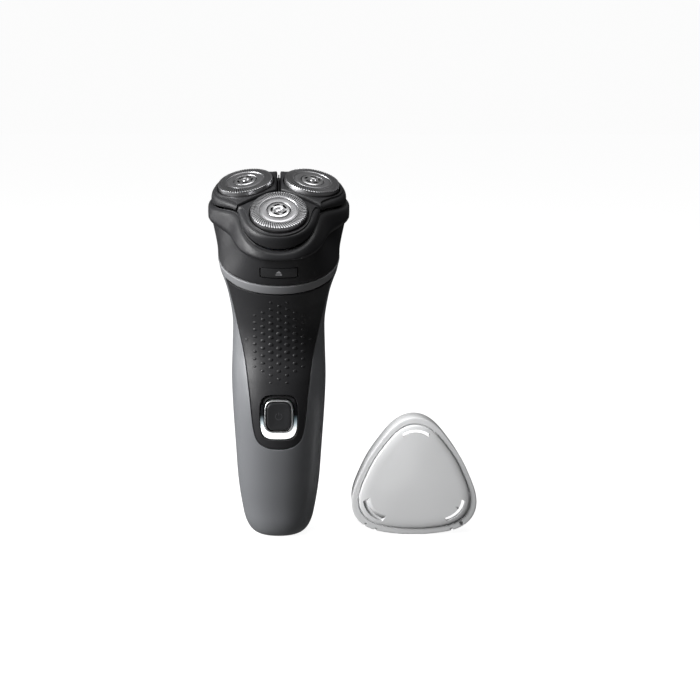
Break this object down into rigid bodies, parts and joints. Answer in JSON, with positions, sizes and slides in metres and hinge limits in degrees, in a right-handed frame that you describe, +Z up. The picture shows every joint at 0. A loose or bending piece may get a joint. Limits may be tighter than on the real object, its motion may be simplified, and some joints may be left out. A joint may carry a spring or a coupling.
{
  "type": "rotary electric shaver",
  "caption": "Hand-held rotary shaver with floating round shavers on a flip-open head, gear drive, power button with light ring, and a click-on cap standing beside it.",
  "frame": {"origin": "on the flat face of the shaver's base, in the middle plane, where it stands", "axes": "+Z up the body, -Y the front with the power button, +X to the right as seen from the front"},
  "size_m": [0.1131, 0.0558, 0.1541],
  "materials": {
    "grey_shell": "fine satin moulded plastic",
    "black_shell": "satin black moulded plastic",
    "holder_black": "satin black moulded plastic",
    "band_grey": "smooth grey plastic",
    "button_face": "soft matt plastic",
    "silver_trim": "bright plated rim",
    "light_guide": "lit white light guide",
    "shaver_steel": "slotted spun steel",
    "bright_steel": "polished disc",
    "cutter_steel": "ground steel",
    "coupling_blue": "smooth acetal",
    "gear_white": "acetal",
    "pinion_brass": "machined",
    "inner_grey": "plain moulded plastic",
    "board_green": "solder mask",
    "socket_black": "plain moulded plastic",
    "battery_wrap": "shrink wrap over a steel cell",
    "cap_satin": "satin light grey plastic"
  },
  "bodies": {
    "housing": {"rear_housing": "grey_shell", "front_cover": "black_shell", "button_bezel": "black_shell", "light_ring": "light_guide", "trim_band": "band_grey", "head_collar": "black_shell", "hinge_pin": "cutter_steel", "drive_deck": "inner_grey", "deck_screw_front": "cutter_steel", "deck_screw_left": "cutter_steel", "deck_screw_right": "cutter_steel", "motor_mount": "inner_grey", "gear_axle_front": "cutter_steel", "gear_axle_left": "cutter_steel", "gear_axle_right": "cutter_steel", "motor_can": "cutter_steel", "motor_end_cap": "inner_grey", "chassis": "inner_grey", "chassis_screw_left": "cutter_steel", "chassis_screw_right": "cutter_steel", "battery_cell": "battery_wrap", "circuit_board": "board_green", "tact_switch": "socket_black", "charging_socket": "socket_black", "socket_pin_left": "pinion_brass", "socket_pin_right": "pinion_brass"},
    "power_button": {"power_button": "button_face", "power_button_rim": "silver_trim"},
    "release_button": {"release_button": "black_shell"},
    "motor_rotor": {"motor_shaft": "cutter_steel", "motor_pinion": "pinion_brass"},
    "shaving_head": {"head_frame": "black_shell", "retaining_frame": "holder_black"},
    "retaining_lock": {"retaining_lock": "inner_grey"},
    "cap": {"protective_cap": "cap_satin"},
    "drive_front": {"drive_gear_front": "gear_white", "drive_spindle_front": "coupling_blue"},
    "holder_front": {"head_holder_front": "holder_black"},
    "guard_front": {"shaving_guard_front": "shaver_steel", "guard_centre_front": "bright_steel"},
    "cutter_front": {"cutter_front": "cutter_steel", "cutter_hub_front": "coupling_blue"},
    "drive_right": {"drive_gear_right": "gear_white", "drive_spindle_right": "coupling_blue"},
    "holder_right": {"head_holder_right": "holder_black"},
    "guard_right": {"shaving_guard_right": "shaver_steel", "guard_centre_right": "bright_steel"},
    "cutter_right": {"cutter_right": "cutter_steel", "cutter_hub_right": "coupling_blue"},
    "drive_left": {"drive_gear_left": "gear_white", "drive_spindle_left": "coupling_blue"},
    "holder_left": {"head_holder_left": "holder_black"},
    "guard_left": {"shaving_guard_left": "shaver_steel", "guard_centre_left": "bright_steel"},
    "cutter_left": {"cutter_left": "cutter_steel", "cutter_hub_left": "coupling_blue"}
  },
  "joints": [
    {"name": "power_button_press", "type": "slide", "parent": "housing", "child": "power_button", "axis": [0, 1, 0], "range_m": [0, 0.0008], "stiffness_N_per_m": 300, "springref_m": -0.001},
    {"name": "release_button_press", "type": "slide", "parent": "housing", "child": "release_button", "axis": [0, 0.9063, 0.4226], "range_m": [0, 0.0012], "stiffness_N_per_m": 300, "springref_m": -0.001},
    {"name": "head_open", "type": "hinge", "parent": "housing", "child": "shaving_head", "pos_m": [0, 0.02172, 0.14332], "axis": [-1, 0, 0], "range_deg": [0, 95]},
    {"name": "retaining_lock_turn", "type": "hinge", "parent": "shaving_head", "child": "retaining_lock", "pos_m": [0, -0.00108, 0.13401], "axis": [0, -0.4226, 0.9063], "range_deg": [0, 90]},
    {"name": "motor_spin", "type": "hinge", "parent": "housing", "child": "motor_rotor", "pos_m": [0, 0.00314, 0.12495], "axis": [0, -0.4226, 0.9063], "continuous": true},
    {"name": "drive_front_spin", "type": "hinge", "parent": "housing", "child": "drive_front", "pos_m": [0, -0.0116, 0.12249], "axis": [0, -0.4226, 0.9063], "continuous": true},
    {"name": "drive_right_spin", "type": "hinge", "parent": "housing", "child": "drive_right", "pos_m": [0.01247, 0.00798, 0.13162], "axis": [0, -0.4226, 0.9063], "continuous": true},
    {"name": "drive_left_spin", "type": "hinge", "parent": "housing", "child": "drive_left", "pos_m": [-0.01247, 0.00798, 0.13162], "axis": [0, -0.4226, 0.9063], "continuous": true},
    {"name": "holder_front_tilt", "type": "hinge", "parent": "shaving_head", "child": "holder_front", "pos_m": [0, -0.01921, 0.13666], "axis": [1, 0, 0], "range_deg": [-3, 3], "stiffness_Nm_per_rad": 0.06},
    {"name": "guard_front_float", "type": "slide", "parent": "holder_front", "child": "guard_front", "axis": [0, 0.5736, -0.8192], "range_m": [0, 0.001], "stiffness_N_per_m": 300, "springref_m": -0.002},
    {"name": "cutter_front_spin", "type": "hinge", "parent": "guard_front", "child": "cutter_front", "pos_m": [0, -0.0215, 0.13994], "axis": [0, -0.5736, 0.8192], "continuous": true},
    {"name": "holder_right_tilt", "type": "hinge", "parent": "shaving_head", "child": "holder_right", "pos_m": [0.01325, 0.0016, 0.14636], "axis": [-0.5, 0.7849, 0.366], "range_deg": [-3, 3], "stiffness_Nm_per_rad": 0.06},
    {"name": "guard_right_float", "type": "slide", "parent": "holder_right", "child": "guard_right", "axis": [-0.1504, 0.3375, -0.9292], "range_m": [0, 0.001], "stiffness_N_per_m": 300, "springref_m": -0.002},
    {"name": "cutter_right_spin", "type": "hinge", "parent": "guard_right", "child": "cutter_right", "pos_m": [0.01386, 0.00025, 0.15008], "axis": [0.1504, -0.3375, 0.9292], "continuous": true},
    {"name": "holder_left_tilt", "type": "hinge", "parent": "shaving_head", "child": "holder_left", "pos_m": [-0.01325, 0.0016, 0.14636], "axis": [-0.5, -0.7849, -0.366], "range_deg": [-3, 3], "stiffness_Nm_per_rad": 0.06},
    {"name": "guard_left_float", "type": "slide", "parent": "holder_left", "child": "guard_left", "axis": [0.1504, 0.3375, -0.9292], "range_m": [0, 0.001], "stiffness_N_per_m": 300, "springref_m": -0.002},
    {"name": "cutter_left_spin", "type": "hinge", "parent": "guard_left", "child": "cutter_left", "pos_m": [-0.01386, 0.00025, 0.15008], "axis": [-0.1504, -0.3375, 0.9292], "continuous": true},
    {"name": "cap_lift", "type": "slide", "parent": "housing", "child": "cap", "axis": [0, 0, 1], "range_m": [0, 0.06]}
  ],
  "couplings": [
    {"joint": "drive_front_spin", "follows": "motor_spin", "ratio": -0.61538},
    {"joint": "drive_right_spin", "follows": "motor_spin", "ratio": -0.61538},
    {"joint": "drive_left_spin", "follows": "motor_spin", "ratio": -0.61538},
    {"joint": "cutter_front_spin", "follows": "motor_spin", "ratio": -0.61538},
    {"joint": "cutter_right_spin", "follows": "motor_spin", "ratio": -0.61538},
    {"joint": "cutter_left_spin", "follows": "motor_spin", "ratio": -0.61538}
  ]
}
